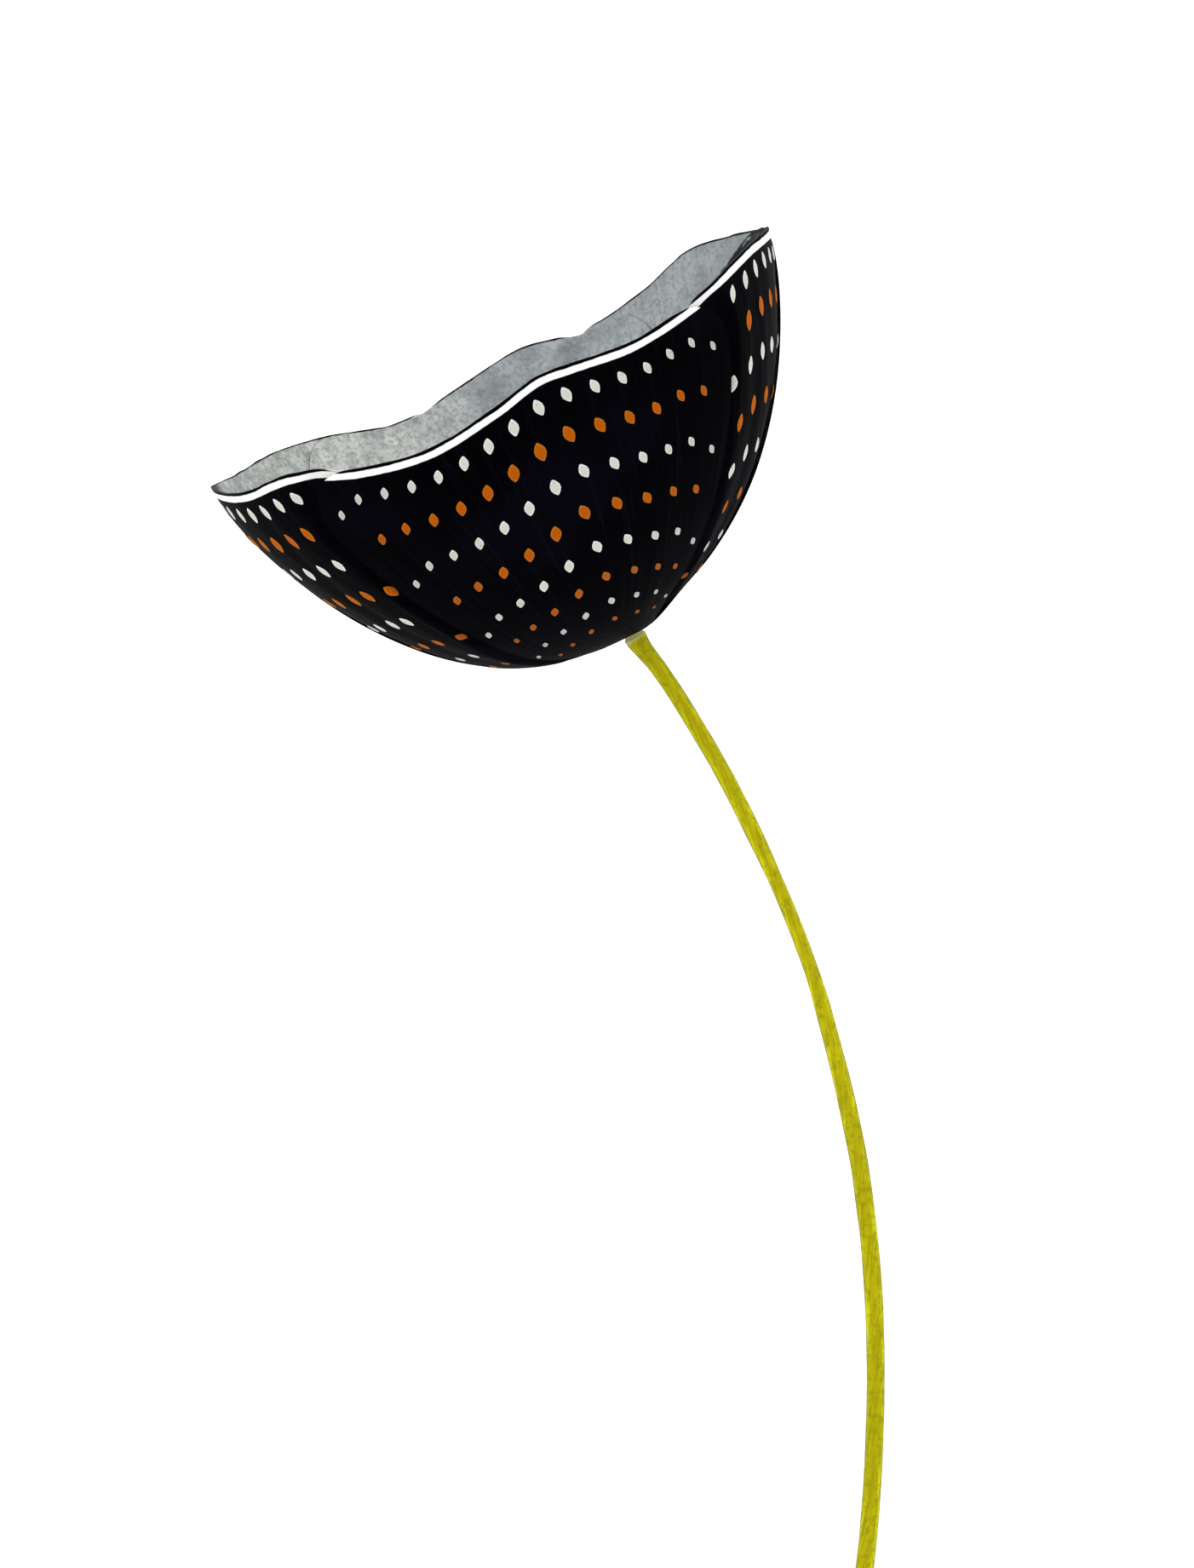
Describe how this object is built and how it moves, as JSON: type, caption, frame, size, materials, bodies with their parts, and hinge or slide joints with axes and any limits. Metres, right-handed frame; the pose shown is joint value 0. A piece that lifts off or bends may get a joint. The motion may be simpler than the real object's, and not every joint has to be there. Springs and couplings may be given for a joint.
{
  "type": "cut tulip flower",
  "caption": "Single cut tulip lying on its side: a wide-open, bowl-shaped near-black bloom of overlapping tepals on a thin, curved yellow-green stem.",
  "frame": {"origin": "on the surface that the flower lies on, under the middle of the whole flower's box", "axes": "+Z up from the surface; +Y along the flower, from the stem's cut end towards the bloom; +X across, to the right when seen from above with +Y up"},
  "size_m": [0.1104, 0.2546, 0.0948],
  "materials": {
    "petal": "satin petal skin, near-black outside with a pale rim, grey inside",
    "stamen": "matt, dark",
    "pistil": "satin, pale green",
    "stem": "satin, yellow-green"
  },
  "bodies": {
    "root": {"outer_tepal_1": "petal", "outer_tepal_2": "petal", "outer_tepal_3": "petal", "inner_tepal_1": "petal", "inner_tepal_2": "petal", "inner_tepal_3": "petal", "stamens": "stamen", "pistil": "pistil", "stem": "stem"}
  },
  "joints": []
}
